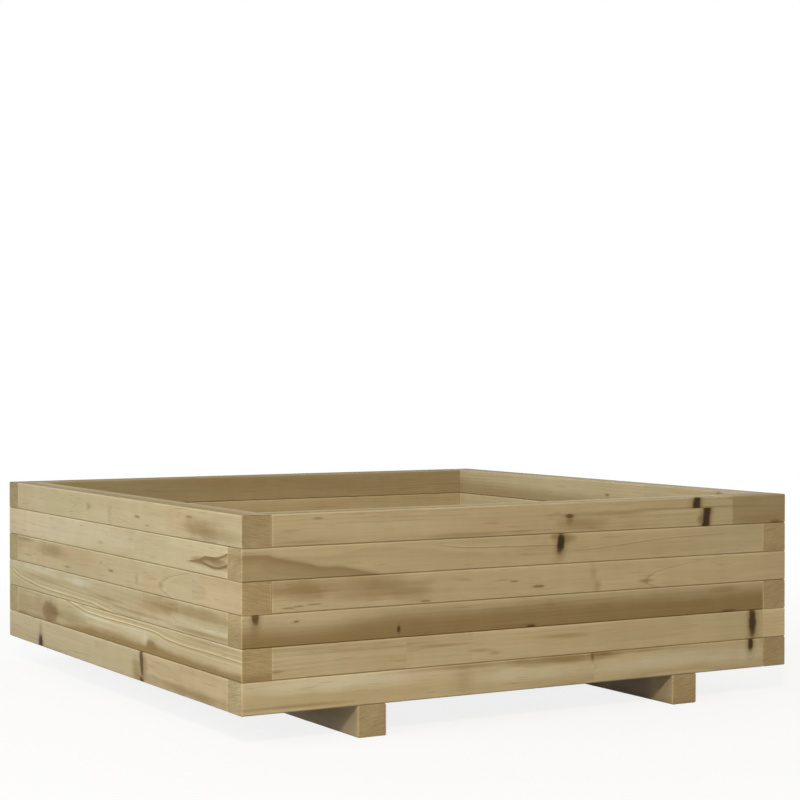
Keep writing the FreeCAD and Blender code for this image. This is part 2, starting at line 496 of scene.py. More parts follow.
def pine_grain_group():
    """What all pine shows along its grain: bands, clouds, fibres and short dark dashes"""
    swings = {"Band": (BANDS, 4.0, 0.6), "Cloud": (CLOUDS, 3.0, 0.55), "Hue": (HUES, 2.0, 0.5),
              "Mottle": (MOTTLE, 2.0, 0.5), "Fibre": (FIBRES, 4.0, 0.7)}
    outputs = {name: "Float" for name in (*swings, "Dash")}
    graph, _, seeded = pine_group("grain", {}, outputs)
    for name, pattern in swings.items():
        graph.wire(graph.swing(seeded, *pattern), graph.result[name])
    graph.wire(graph.smooth(graph.noise(seeded, DASHES, 1.0), 0.63, 0.78), graph.result["Dash"])
    return graph.tree


def pine_finish_group(wood):
    """Colour, roughness and relief of planed and impregnated pine"""
    names = ("Line", "Band", "Cloud", "Hue", "Mottle", "Fibre", "Dash", "Heart", "Stain", "Pale",
             "Knot", "Core", "Halo", "End", "Saw", "Worn", "Tone")
    outputs = {"Colour": "Color", "Roughness": "Float", "Relief": "Float"}
    graph = Graph.group("pine_finish", {name: "Float" for name in names}, outputs)
    given = graph.given
    line = graph.product(given["Line"], graph.linear(given["End"], 1.0, 0.35))
    dark_line = graph.math("MAXIMUM", line, 0.0)
    pale_line = graph.math("MINIMUM", line, 0.0)

    deepens = ((given["Band"], 0.5), (given["Cloud"], 0.42))
    depth = graph.clamped(graph.weighted(0.42, *deepens))
    colour = graph.mix(depth, wood.sapwood, wood.deep_sapwood)
    colour = graph.mix(given["Pale"], colour, wood.pale_sapwood)
    rosy = graph.smooth(given["Hue"], 0.0, 0.7)
    green = graph.smooth(given["Hue"], 0.0, -0.7)
    colour = graph.mix(rosy, colour, wood.rosy, "MULTIPLY")
    colour = graph.mix(green, colour, wood.green, "MULTIPLY")
    heart = graph.product(given["Heart"], graph.linear(given["End"], 1.0, 0.5))
    colour = graph.mix(heart, colour, wood.heartwood)
    colour = graph.mix(given["Stain"], colour, wood.heartwood)
    colour = graph.mix(dark_line, colour, wood.latewood)
    colour = graph.mix(graph.product(given["Dash"], 0.3), colour, wood.latewood)
    colour = graph.mix(graph.product(given["Halo"], 0.75), colour, wood.knot_brown)
    colour = graph.mix(given["Knot"], colour, wood.knot_brown)
    colour = graph.mix(graph.product(given["Core"], 0.95), colour, wood.knot_dark)
    colour = graph.mix(given["End"], colour, wood.end_shade, "MULTIPLY")

    saw = graph.product(given["Saw"], given["End"])
    # The arris input lightens worn arrises and painted highlights, and darkens painted shade along lower
    # arrises
    brightens = ((given["Fibre"], 0.1), (given["Mottle"], 0.05), (pale_line, -0.4),
                 (given["Worn"], 0.14), (saw, 0.3))
    bright = given["Tone"]
    for value, weight in brightens:
        bright = graph.product(bright, graph.math("MULTIPLY_ADD", value, weight, 1.0))
    graph.wire(graph.scaled(colour, bright), graph.result["Colour"])

    roughens = ((given["Fibre"], 0.08), (dark_line, -0.08), (given["Core"], -0.15),
                (given["End"], 0.15))
    rough = graph.clamped(graph.weighted(wood.roughness, *roughens))
    graph.wire(rough, graph.result["Roughness"])
    raises = ((given["Fibre"], 0.35), (saw, 0.8), (given["Knot"], 0.6))
    graph.wire(graph.weighted(dark_line, *raises), graph.result["Relief"])
    return graph.tree


# How each bar was sawn, and what shows on it

@dataclass
class Knot:
    """Along and height are shares of the wall and of the bar; wide and tall are half sizes in metres"""

    along: float
    height: float
    wide: float
    tall: float
    dark: float = 1.0  # how dark its core is
    fill: float = 0.85  # how brown it is
    rim: float = 0.0  # how dark its rim is
    face: int = -1  # -1 for the outer face of a wall, 1 for the inner one
    lean: float = 0.0  # how far its upper part lies ahead of its lower one
    depth: float = 0.016

    def halo(self):
        """How strong its stain is: a dark knot stains more"""
        return self.fill * (0.3 + 0.5 * self.dark)

    def bulge(self):
        """How far it pushes the rings aside"""
        return 0.8 * self.tall


@dataclass
class Stain:
    """A soft patch, placed and sized as a knot is"""

    along: float
    height: float
    wide: float
    tall: float
    strength: float
    face: int = -1


@dataclass
class Arch:
    """Nested arches with their tip at a place, opening to the right or, with -1, to the left"""

    along: float
    height: float
    opening: int
    bow: float  # how fast an arch falls back from its tip, per metre
    step: float
    count: float
    strength: float
    face: int = -1


@dataclass
class Vein:
    """A bold grain line through listed shares along and up, with fainter ones beside it"""

    points: list
    spacing: float
    reach: float
    strength: float
    pale: float = 0.5  # how bright the pale line over it is
    fade: float = 0.08  # share along over which it fades at both ends


@dataclass
class Heart:
    """Brown heartwood under a limit through listed shares along and up"""

    points: list
    softness: float
    strength: float


@dataclass
class Figure:
    """How one bar was sawn from its log, and what shows on it"""

    tone: float = 1.0
    end_tone: float = 1.0  # of its end grain
    pith: tuple = (0.07, 0.0)  # behind and above the bar's middle
    slope: tuple = (0.0, 0.0)  # how the pith leans along the bar
    spacing: float = 0.004
    bold: float = 0.3
    wander: float = 0.02
    heart: Heart = None
    glue: tuple = None  # height share of a glue line, and how far the wood above it is shifted
    staves: list = field(default_factory=list)  # share along where a stave starts, its tone and brown
    knots: list = field(default_factory=list)
    stains: list = field(default_factory=list)  # brown patches
    blushes: list = field(default_factory=list)  # patches where the wood reddens
    pales: list = field(default_factory=list)  # patches where it is paler
    arches: list = field(default_factory=list)
    veins: list = field(default_factory=list)


# Limits of the brown heartwood, in shares along and up
FIFTH_FRONT_LIMIT = [(0.036, 0.82), (0.05, 0.74), (0.08, 0.61), (0.11, 0.48), (0.13, 0.38),
                     (0.16, 0.35), (0.172, 0.3), (0.2, 0.17)]
ALL_HEART = [(0, 2), (1, 2)]

SEEN = {
    "front_beam_6": Figure(
        tone=1.0, pith=(0.01, -0.1), bold=0.3, spacing=0.0055, wander=0.012,
        glue=(0.635, 0.0185), staves=[(0.888, 0.98, 0.48)],
        knots=[Knot(0.834, 0.4, 0.0066, 0.06, 0.95, lean=0.14, depth=0.003),
               Knot(0.563, 0.555, 0.0064, 0.003, 0.4, 0.85), Knot(0.145, 0.83, 0.006, 0.0012, 0.1, 0.4)],
        stains=[Stain(0.563, 0.42, 0.0065, 0.007, 0.4), Stain(0.588, 0.28, 0.045, 0.012, 0.5),
                Stain(0.823, 0.25, 0.009, 0.007, 0.7), Stain(0.1, 0.12, 0.06, 0.003, 0.4),
                Stain(0.36, 0.1, 0.12, 0.004, 0.4), Stain(0.63, 0.6, 0.09, 0.004, 0.35),
                Stain(0.82, 0.66, 0.14, 0.002, 0.5), Stain(0.95, 0.15, 0.06, 0.008, 0.3),
                Stain(0.98, 0.05, 0.012, 0.003, 0.9)],
        pales=[Stain(0.76, 0.56, 0.07, 0.003, 0.5)]),
    "front_beam_5": Figure(
        tone=1.0, pith=(0.09, -0.01), bold=0.22,
        heart=Heart([(0.0, 0.83), *FIFTH_FRONT_LIMIT, (0.24, -0.08)], 0.0045, 0.48),
        knots=[Knot(0.5465, 0.7, 0.0063, 0.0146, 1.0, 0.75, lean=0.12)],
        stains=[Stain(0.56, 0.82, 0.016, 0.008, 0.6), Stain(0.535, 0.92, 0.008, 0.005, 0.6)],
        veins=[Vein([(0.29, 0.97), (0.33, 0.83), (0.36, 0.75), (0.4, 0.7), (0.45, 0.68), (0.6, 0.62)],
                    0.006, 0.0035, 0.55),
               Vein([(0.53, 0.43), (0.6, 0.46), (0.66, 0.53), (0.7, 0.6), (0.75, 0.67), (0.8, 0.7),
                     (0.92, 0.78)], 0.006, 0.0035, 0.45),
               Vein([(-0.04, 0.83), *FIFTH_FRONT_LIMIT, (0.26, -0.25)], 0.06, 0.018, 0.55, 0.0, 0.04)]),
    "front_beam_4": Figure(
        tone=1.02, pith=(0.08, 0.006), bold=0.25, staves=[(0.6175, 1.03, -0.02)],
        knots=[Knot(0.505, 0.32, 0.008, 0.0016, 0.2, 0.55), Knot(0.46, 0.53, 0.006, 0.0011, 0.1, 0.45),
               Knot(0.302, 0.09, 0.007, 0.0014, 0.12, 0.44), Knot(0.075, 0.15, 0.008, 0.001, 0.1, 0.42),
               Knot(0.091, 0.19, 0.006, 0.0009, 0.1, 0.42), Knot(0.116, 0.22, 0.009, 0.0009, 0.1, 0.38)],
        stains=[Stain(0.085, 0.72, 0.055, 0.018, 0.7), Stain(0.19, 0.66, 0.06, 0.026, 0.42),
                Stain(0.25, 0.58, 0.055, 0.02, 0.3), Stain(0.28, 0.38, 0.06, 0.014, 0.3),
                Stain(0.616, 0.2, 0.008, 0.012, 0.4), Stain(0.609, 0.65, 0.007, 0.012, 0.25),
                Stain(0.713, 0.27, 0.016, 0.003, 0.6)],
        blushes=[Stain(0.2, 0.5, 0.22, 0.06, 0.4)],
        arches=[Arch(0.712, 0.29, 1, 226, 0.05, 0.95, 0.38)]),
    "front_beam_3": Figure(
        tone=1.0, pith=(0.02, -0.11), bold=0.3, spacing=0.005, wander=0.012,
        heart=Heart([(0.0, 0.55), (0.05, 0.52), (0.1, 0.5), (0.15, 0.56), (0.2, 0.66), (0.25, 0.72),
                     (0.4, 0.68), (0.5, 0.7), (1.0, 0.72)], 0.014, 0.84),
        knots=[Knot(0.0215, 1.0, 0.005, 0.011, 0.55, 0.85), Knot(0.0865, 0.73, 0.0036, 0.001, 0.3, 0.6),
               Knot(0.256, 0.27, 0.0023, 0.0047, 0.75), Knot(0.49, 0.05, 0.007, 0.002, 0.6),
               Knot(0.88, 0.06, 0.012, 0.0018, 0.2, 0.7)],
        stains=[Stain(0.02, 0.45, 0.009, 0.02, 0.4), Stain(0.3, 0.1, 0.04, 0.0025, 0.5),
                Stain(0.46, 0.1, 0.04, 0.003, 0.6), Stain(0.525, 0.7, 0.012, 0.008, 0.4),
                Stain(0.87, 0.8, 0.03, 0.006, 0.4)],
        pales=[Stain(0.12, 0.8, 0.12, 0.012, 0.3)]),
    "front_beam_2": Figure(
        tone=1.03, pith=(0.03, 0.1), bold=0.25, spacing=0.005,
        staves=[(0.27, 1.01, -0.02), (0.385, 1.02, 0.0), (0.952, 1.22, 0.0)],
        stains=[Stain(0.4, 0.4, 0.025, 0.003, 0.4), Stain(0.425, 0.28, 0.014, 0.004, 0.45),
                Stain(0.55, 0.64, 0.05, 0.004, 0.4), Stain(0.33, 0.66, 0.05, 0.003, 0.35),
                Stain(0.2, 0.75, 0.12, 0.005, 0.3), Stain(0.055, 0.25, 0.014, 0.003, 0.55)],
        knots=[Knot(0.93, 0.6, 0.0064, 0.021, 0.88)]),
    "front_beam_1": Figure(
        tone=1.1, pith=(0.09, 0.01), bold=0.25, staves=[(0.61, 0.99, 0.0)],
        knots=[Knot(0.926, 0.84, 0.0045, 0.0095, 0.95), Knot(0.607, 0.9, 0.0024, 0.005, 0.2, 0.7)],
        stains=[Stain(0.36, 0.93, 0.1, 0.005, 0.5), Stain(0.56, 0.9, 0.1, 0.008, 0.8),
                Stain(0.69, 0.95, 0.09, 0.004, 0.55), Stain(0.37, 0.5, 0.02, 0.02, 0.3),
                Stain(0.08, 0.17, 0.1, 0.003, 0.5)],
        pales=[Stain(0.15, 0.78, 0.2, 0.013, 1.0), Stain(0.46, 0.5, 0.1, 0.013, 0.6),
               Stain(0.78, 0.5, 0.22, 0.012, 0.7)]),
    "left_beam_6": Figure(
        tone=1.0, end_tone=0.87, pith=(0.09, 0.0), bold=0.2,
        knots=[Knot(0.616, 0.46, 0.009, 0.0018, 0.14, 0.43), Knot(0.818, 0.72, 0.009, 0.0016, 0.1, 0.36),
               Knot(0.658, 0.22, 0.006, 0.001, 0.05, 0.35)],
        stains=[Stain(0.895, 0.28, 0.1, 0.02, 0.5), Stain(0.85, 0.4, 0.07, 0.013, 0.3),
                Stain(0.5, 0.4, 0.01, 0.02, 0.2), Stain(0.402, 0.54, 0.014, 0.008, 0.25)],
        blushes=[Stain(0.765, 0.5, 0.05, 0.03, 0.7), Stain(0.08, 0.5, 0.045, 0.03, 0.5),
                 Stain(0.28, 0.5, 0.13, 0.022, -0.8), Stain(0.455, 0.5, 0.04, 0.03, 0.4),
                 Stain(0.97, 0.4, 0.03, 0.03, -0.5)],
        arches=[Arch(0.408, 0.53, -1, 650, 0.06, 2.2, 0.28), Arch(0.498, 0.5, 1, 640, 0.05, 1.6, 0.2)]),
    "left_beam_5": Figure(
        tone=1.03, pith=(0.1, 0.01), bold=0.2, staves=[(0.607, 0.98, 0.0)],
        knots=[Knot(0.915, 0.43, 0.044, 0.006, 0.03, 0.5)],
        stains=[Stain(0.852, 0.4, 0.026, 0.006, 0.9), Stain(0.893, 0.53, 0.03, 0.0035, 0.7),
                Stain(0.918, 0.45, 0.02, 0.005, 0.45), Stain(0.945, 0.68, 0.016, 0.005, 0.5),
                Stain(0.458, 0.35, 0.015, 0.004, 0.35)],
        blushes=[Stain(0.2, 0.5, 0.3, 0.05, 0.5)],
        pales=[Stain(0.15, 0.6, 0.3, 0.03, 0.6), Stain(0.5, 0.6, 0.16, 0.02, 0.35)],
        veins=[Vein([(0.8, 0.35), (0.84, 0.42), (0.86, 0.49), (0.876, 0.59), (0.905, 0.605),
                     (0.928, 0.665), (0.95, 0.79), (1.0, 1.05)], 0.013, 0.007, 1.5, 0.2, 0.04),
               Vein([(0.85, 0.42), (0.876, 0.38), (0.893, 0.345), (0.91, 0.325), (0.925, 0.345),
                     (0.94, 0.405), (0.95, 0.445), (1.0, 0.63)], 0.013, 0.007, 1.7, 0.3, 0.03),
               Vein([(0.03, 0.66), (0.17, 0.55), (0.24, 0.5)], 0.006, 0.006, 0.22)]),
    "left_beam_4": Figure(
        tone=1.0, pith=(0.09, 0.004), bold=0.2, staves=[(0.828, 0.96, 0.0)],
        knots=[Knot(0.504, 0.45, 0.009, 0.0017, 0.16, 0.48), Knot(0.303, 0.22, 0.011, 0.0012, 0.08, 0.4),
               Knot(0.46, 0.65, 0.004, 0.001, 0.1, 0.3), Knot(0.1, 0.32, 0.02, 0.0007, 0.05, 0.4)],
        stains=[Stain(0.225, 0.68, 0.065, 0.012, 0.55), Stain(0.085, 0.88, 0.05, 0.005, 0.55),
                Stain(0.04, 0.6, 0.04, 0.02, 0.3), Stain(0.613, 0.35, 0.008, 0.01, 0.35),
                Stain(0.713, 0.37, 0.012, 0.004, 0.4)],
        blushes=[Stain(0.1, 0.55, 0.06, 0.012, 0.9), Stain(0.24, 0.8, 0.08, 0.012, 0.7),
                 Stain(0.67, 0.45, 0.04, 0.02, 0.7), Stain(0.93, 0.5, 0.1, 0.05, 0.7)],
        arches=[Arch(0.712, 0.38, 1, 190, 0.07, 0.95, 0.32)]),
    "left_beam_3": Figure(
        tone=0.99, pith=(0.03, -0.12), slope=(0.0, -0.03), bold=0.25, spacing=0.006, wander=0.014,
        staves=[(0.631, 0.99, 0.0), (0.765, 1.0, 0.0)],
        stains=[Stain(0.697, 0.72, 0.075, 0.014, 0.5), Stain(0.86, 0.74, 0.15, 0.011, 0.6),
                Stain(0.87, 0.14, 0.13, 0.004, 0.6), Stain(0.48, 0.45, 0.07, 0.004, 0.55),
                Stain(0.62, 0.25, 0.13, 0.004, 0.4), Stain(0.2, 0.55, 0.14, 0.006, 0.25)],
        blushes=[Stain(0.69, 0.7, 0.09, 0.02, 0.4), Stain(0.58, 0.4, 0.09, 0.008, 0.8)],
        pales=[Stain(0.13, 0.85, 0.14, 0.006, 0.7), Stain(0.355, 0.8, 0.06, 0.008, 0.9),
               Stain(0.9, 0.3, 0.08, 0.004, 0.8)],
        veins=[Vein([(-0.05, 0.95), (0.0, 0.73), (0.03, 0.54), (0.06, 0.43), (0.1, 0.34), (0.15, 0.26),
                     (0.2, 0.22), (0.3, 0.19), (0.4, 0.17), (0.43, 0.15), (0.46, 0.09), (0.5, 0.03),
                     (0.56, -0.1)], 0.006, 0.009, 0.6, 1.6),
               Vein([(0.06, 0.75), (0.2, 0.55), (0.4, 0.42), (0.6, 0.3)], 0.007, 0.006, 0.3)]),
    "left_beam_2": Figure(
        tone=1.04, end_tone=1.05, pith=(0.03, -0.12), slope=(0.0, -0.02), bold=0.25, spacing=0.007,
        heart=Heart([(0.0, 0.1), (0.25, 0.1), (0.4, 0.26), (0.65, 0.28), (0.668, 0.48), (0.69, 0.38),
                     (0.75, 0.3), (1.0, 0.24)], 0.005, 0.9),
        knots=[Knot(0.215, 0.4, 0.028, 0.0135, 0.14, 0.55, 0.16),
               Knot(0.211, 0.63, 0.014, 0.0012, 0.2, 0.5)],
        stains=[Stain(0.09, 0.45, 0.14, 0.026, 0.5), Stain(0.3, 0.45, 0.1, 0.016, 0.45),
                Stain(0.5, 0.32, 0.14, 0.006, 0.35), Stain(0.672, 0.25, 0.022, 0.011, 0.95),
                Stain(0.215, 0.5, 0.045, 0.02, 0.3), Stain(0.9, 0.88, 0.12, 0.004, 0.35)],
        blushes=[Stain(0.46, 0.3, 0.1, 0.006, 0.7)],
        pales=[Stain(0.42, 0.66, 0.1, 0.005, 0.6), Stain(0.648, 0.5, 0.006, 0.014, 0.6),
               Stain(0.6, 0.62, 0.06, 0.005, 0.5)],
        veins=[Vein([(0.25, 1.15), (0.3, 1.02), (0.33, 0.95), (0.36, 0.88), (0.4, 0.8), (0.45, 0.78),
                     (0.65, 0.79), (0.69, 0.77), (0.73, 0.68), (0.76, 0.64), (0.87, 0.62), (1.1, 0.62)],
                    0.006, 0.009, 0.6, 1.6)]),
    "left_beam_1": Figure(
        tone=0.98, pith=(0.08, 0.012), bold=0.25, staves=[(0.638, 1.0, 0.03)],
        knots=[Knot(0.1685, 0.16, 0.0085, 0.0115), Knot(0.633, 0.68, 0.0058, 0.02, 0.6, 0.9, lean=-0.1),
               Knot(0.6335, 0.03, 0.0075, 0.005, 0.7, 0.9)],
        stains=[Stain(0.612, 0.35, 0.02, 0.018, 0.6), Stain(0.647, 0.55, 0.012, 0.018, 0.4),
                Stain(0.82, 0.18, 0.18, 0.008, 0.7), Stain(0.168, 0.75, 0.007, 0.012, 0.3)],
        blushes=[Stain(0.611, 0.3, 0.02, 0.016, 0.6), Stain(0.82, 0.6, 0.3, 0.03, 0.6)],
        veins=[Vein([(0.24, 0.05), (0.3, 0.2), (0.36, 0.28), (0.46, 0.3)], 0.006, 0.004, 0.35)]),
    "back_beam_6": Figure(
        tone=0.97, end_tone=0.92, pith=(0.02, 0.1), heart=Heart(ALL_HEART, 0.01, 0.35)),
    "back_beam_4": Figure(tone=0.98, pith=(0.08, 0.01), heart=Heart(ALL_HEART, 0.01, 0.2)),
}


def chance_figure(rng, tone=1.0):
    """A bar that shows in no particular way: sawn anywhere from its log, with a few knots"""
    figure = Figure(tone=tone * rng.uniform(0.94, 1.08), spacing=rng.uniform(0.0035, 0.006))
    face = rng.choice((-1, 1))
    if rng.random() < 0.6:
        figure.pith = (rng.uniform(0.07, 0.1), rng.uniform(-0.012, 0.012))
        figure.bold = rng.uniform(0.18, 0.28)
        for _ in range(rng.randint(1, 3)):
            figure.arches.append(Arch(
                along=rng.uniform(0.15, 0.85), height=rng.uniform(0.3, 0.7), opening=rng.choice((-1, 1)),
                bow=rng.uniform(150, 900), step=rng.uniform(0.04, 0.07), count=rng.uniform(2.0, 3.5),
                strength=rng.uniform(0.3, 0.5), face=face))
    else:
        figure.pith = (rng.uniform(0.0, 0.03), rng.choice((-1, 1)) * rng.uniform(0.09, 0.12))
        figure.bold = rng.uniform(0.25, 0.4)
        figure.wander = 0.013
    for _ in range(rng.randint(1, 4)):
        along = rng.uniform(0.06, 0.94)
        height = rng.uniform(0.1, 0.9)
        side = rng.choice((-1, 1))
        kind = rng.random()
        if kind < 0.55:  # a dash along the grain
            knot = Knot(along, height, wide=rng.uniform(0.005, 0.012), tall=rng.uniform(0.001, 0.002),
                        dark=rng.uniform(0.1, 0.3), fill=0.55)
        elif kind < 0.8:  # a spike across it
            knot = Knot(along, height, wide=rng.uniform(0.003, 0.006), tall=rng.uniform(0.006, 0.016),
                        dark=rng.uniform(0.6, 1.0))
        else:  # a large live knot
            knot = Knot(along, height, wide=rng.uniform(0.012, 0.024), tall=rng.uniform(0.008, 0.013),
                        dark=0.14, fill=0.5, rim=0.16)
        knot.face = side
        knot.lean = rng.uniform(-0.2, 0.2)
        figure.knots.append(knot)
    if rng.random() < 0.4:
        limit = [(0.0, rng.uniform(0.0, 0.6)), (1.0, rng.uniform(0.0, 0.6))]
        figure.heart = Heart(limit, 0.01, rng.uniform(0.25, 0.6))
    if rng.random() < 0.5:
        figure.staves = [(rng.uniform(0.2, 0.8), rng.uniform(0.9, 1.07), rng.uniform(0.0, 0.12))]
    return figure


class Timber:
    """The wood of one bar: where it lies, how its grain runs, and its material"""

    def __init__(self, node, turn, seed, figure):
        low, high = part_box(node)
        size = high - low
        self.node = node
        self.figure = figure
        self.turn = math.radians(turn)
        self.middle = (low + high) / 2
        self.length, self.width = (size.x, size.y) if turn % 180 == 0 else (size.y, size.x)
        self.height = size.z
        self.flat = self.width > 2 * self.height
        self.rim = high.z > TOP - self.height / 2
        run = Vector((math.cos(self.turn), math.sin(self.turn), 0))
        self.offset = self.middle.dot(run)
        rng = random.Random(seed)
        self.seed = (rng.uniform(2, 40), rng.uniform(2, 9), rng.uniform(2, 9))

    def along(self, share):
        return (share - 0.5) * SIDE - self.offset

    def up(self, share):
        return (share - 0.5) * self.height

    def on_face(self, feature):
        """Where a feature lies: on a face of a wall, or on the upper or under face of a flat slat"""
        across = self.width * (feature.height - 0.5 if self.flat else feature.face / 2)
        up = self.height * (-feature.face / 2 if self.flat else feature.height - 0.5)
        return self.along(feature.along), across, up

    def reach(self, feature, depth):
        return (feature.wide, feature.tall, depth) if self.flat else (feature.wide, depth, feature.tall)

    def place_and_seed(self, graph):
        """Places along, across and up the bar, its seed, and the tone and brown of its staves"""
        where = graph.add("ShaderNodeTexCoord").outputs["Object"]
        turned = {"Vector": where, "Location": self.middle, "Rotation": (0, 0, self.turn)}
        place = graph.add("ShaderNodeMapping", turned, vector_type="TEXTURE").outputs[0]
        seed = graph.vector("ADD", self.seed, (0, 0, 0))
        tone, brown = self.figure.tone, 0.0
        for share, change, heart in self.figure.staves:
            after = graph.math("GREATER_THAN", graph.split(place)["X"], self.along(share))
            seed = graph.vector("ADD", seed, graph.scaled(STAVE_JUMP, after))
            tone = graph.product(graph.math("MULTIPLY_ADD", after, change - 1, 1.0), tone)
            brown = graph.math("MULTIPLY_ADD", after, heart, brown)
        return place, seed, tone, brown

    def glued(self, graph, place, seed):
        """The same place and seed, shifted above a glue line"""
        if not self.figure.glue:
            return place, seed
        share, shift = self.figure.glue
        above = graph.math("GREATER_THAN", graph.split(place)["Z"], self.up(share))
        place = graph.vector("ADD", place, graph.scaled((shift, 0, 0), above))
        return place, graph.vector("ADD", seed, graph.scaled(GLUE_JUMP, above))

    def knots(self, graph, groups, place, seed):
        """All knots together: their masks, dark cores, stains, and the bulge in the rings"""
        masks, cores, halos, bulges = [0.0], [0.0], [0.0], [0.0]
        for knot in self.figure.knots:
            found = graph.use(groups["knot"], place=place, seed=seed, centre=self.on_face(knot),
                              reach=self.reach(knot, knot.depth), lean=knot.lean)
            masks.append(graph.product(found["Mask"], knot.fill))
            cores.append(graph.product(found["Core"], knot.dark))
            cores.append(graph.product(found["Rim"], knot.rim))
            halos.append(graph.product(found["Halo"], knot.halo()))
            bulges.append(graph.product(found["Bulge"], knot.bulge()))
        return graph.largest(*masks), graph.largest(*cores), graph.largest(*halos), graph.total(*bulges)

    def lines(self, graph, groups, place, seed, bulge):
        """Rings, arches and veins together"""
        figure = self.figure
        rings = graph.use(
            groups["rings"], place=place, seed=seed, pith=(0, *figure.pith), slope=(0, *figure.slope),
            spacing=figure.spacing, wander=figure.wander, bulge=bulge)
        lines = [graph.product(rings["Line"], figure.bold)]
        for arch in figure.arches:
            found = graph.use(groups["arch"], place=place, seed=seed, tip=self.on_face(arch),
                              opening=arch.opening, bow=arch.bow, step=arch.step, count=arch.count)
            lines.append(graph.product(found["Line"], arch.strength))
        for vein in figure.veins:
            lines.append(self.vein(graph, vein, place, seed))
        return graph.total(*lines)

    def over_curve(self, graph, place, points):
        """The share along the wall, and the height over a curve through given shares"""
        axes = graph.split(place)
        share = graph.math("MULTIPLY_ADD", axes["X"], 1 / SIDE, 0.5 + self.offset / SIDE)
        level = graph.math("MULTIPLY_ADD", graph.curve(share, points), self.height, -self.height / 2)
        return share, graph.math("SUBTRACT", axes["Z"], level)

    def vein(self, graph, vein, place, seed):
        share, above = self.over_curve(graph, place, vein.points)
        shaky = graph.swing(graph.vector("ADD", place, seed), VEIN_SHAKE, 3.0)
        above = graph.weighted(above, (shaky, VEIN_STRAY))
        phase = graph.math("DIVIDE", above, vein.spacing)
        line = grain_line(graph, phase, dark_share=0.45, pale_share=0.5, pale=vein.pale)
        near = graph.smooth(graph.math("ABSOLUTE", above), vein.reach, 0.0)
        start, end = vein.points[0][0], vein.points[-1][0]
        begun = graph.smooth(share, start, start + vein.fade)
        ended = graph.smooth(share, end, end - vein.fade)
        return graph.product(line, near, begun, ended, vein.strength)

    def heart(self, graph, place, seed, grain):
        """Brown heartwood, its limit roughened by the clouds and bands in the grain"""
        heart = self.figure.heart
        if not heart:
            return 0.0
        above = self.over_curve(graph, place, heart.points)[1]
        rough = graph.swing(graph.vector("ADD", place, seed), HEART_RAGS, 4.0, 0.6)
        above = graph.weighted(above, (grain["Cloud"], 0.4 * heart.softness),
                               (grain["Band"], 0.3 * heart.softness), (rough, HEART_STRAY))
        return graph.smooth(above, -heart.softness, heart.softness, heart.strength, 0.0)

    def patches(self, graph, groups, place, seed, stains):
        """Soft patches together, each as strong as it says"""
        found = [0.0]
        for stain in stains:
            patch = graph.use(groups["stain"], place=place, seed=seed, centre=self.on_face(stain),
                              reach=self.reach(stain, self.width / 2))
            found.append(graph.product(patch["Mask"], stain.strength))
        return graph.total(*found)

    def edges(self, graph, place, seed):
        """End grain, its saw marks, painted highlight and painted shade along the arrises, and painted
        shade on the rim's top
        """
        axes = graph.split(place)
        ahead = graph.math("SUBTRACT", self.length / 2, graph.math("ABSOLUTE", axes["X"]))
        side = graph.math("SUBTRACT", self.width / 2, graph.math("ABSOLUTE", axes["Y"]))
        under = graph.math("SUBTRACT", self.height / 2, axes["Z"])
        over = graph.math("ADD", axes["Z"], self.height / 2)
        end = graph.smooth(ahead, *END_STRIP)
        upper = graph.smooth(graph.largest(side, under), *UPPER_STRIP)
        lower = graph.smooth(graph.largest(side, over), *LOWER_STRIP)
        upright = graph.smooth(graph.largest(side, ahead), *UPRIGHT_STRIP)
        # Painted highlight along upper arrises, with their wear, and along upright ones; painted shade
        # along lower ones
        light = graph.weighted(upper, (lower, LOWER_ARRIS_PAINTED_SHADE), (upright, UPRIGHT_ARRIS_PAINTED_HIGHLIGHT))
        seeded = graph.vector("ADD", place, seed)
        # Painted shade on the rim's top: darker just under the top, weaker on the inner half, in streaks
        across = graph.weighted(axes["Y"], (graph.swing(seeded, RIM_SHADE_STREAKS, 3.0), RIM_SHADE_STRAY))
        rim_shade_mask = graph.product(
            graph.smooth(under, *RIM_SHADE_UNDER_TOP), graph.smooth(side, *RIM_SHADE_FROM_SIDE),
            graph.smooth(across, *RIM_SHADE_ACROSS, 1.0, INNER_RIM_SHADE))
        slant = {"Vector": seeded, "Angle": SAW_SLANT}
        slanted = graph.add("ShaderNodeVectorRotate", slant, rotation_type="X_AXIS").outputs[0]
        return end, graph.swing(slanted, SAW_MARKS), light, rim_shade_mask

    def material(self, wood, groups):
        graph = Graph.material(f"pine_{self.node}")
        place, seed, tone, brown = self.place_and_seed(graph)
        # From the edges: painted highlight and painted shade along the arrises, with their wear, and
        # painted shade on the rim's top
        end, saw, worn, rim_shade_mask = self.edges(graph, place, seed)
        tone = graph.linear(end, tone, self.figure.end_tone)
        place, seed = self.glued(graph, place, seed)
        knot, core, halo, bulge = self.knots(graph, groups, place, seed)
        grain = graph.use(groups["grain"], place=place, seed=seed)
        line = self.lines(graph, groups, place, seed, bulge)
        heart = graph.total(self.heart(graph, place, seed, grain), brown)
        stain, blush, pale = (
            self.patches(graph, groups, place, seed, patches)
            for patches in (self.figure.stains, self.figure.blushes, self.figure.pales))
        finish = graph.use(
            groups["finish"], line=line, band=grain["Band"], cloud=grain["Cloud"],
            hue=graph.total(grain["Hue"], blush), mottle=grain["Mottle"], fibre=grain["Fibre"],
            dash=grain["Dash"], heart=heart, stain=stain, pale=pale, knot=knot, core=core,
            halo=halo, end=end, saw=saw, worn=worn, tone=tone)
        colour = finish["Colour"]
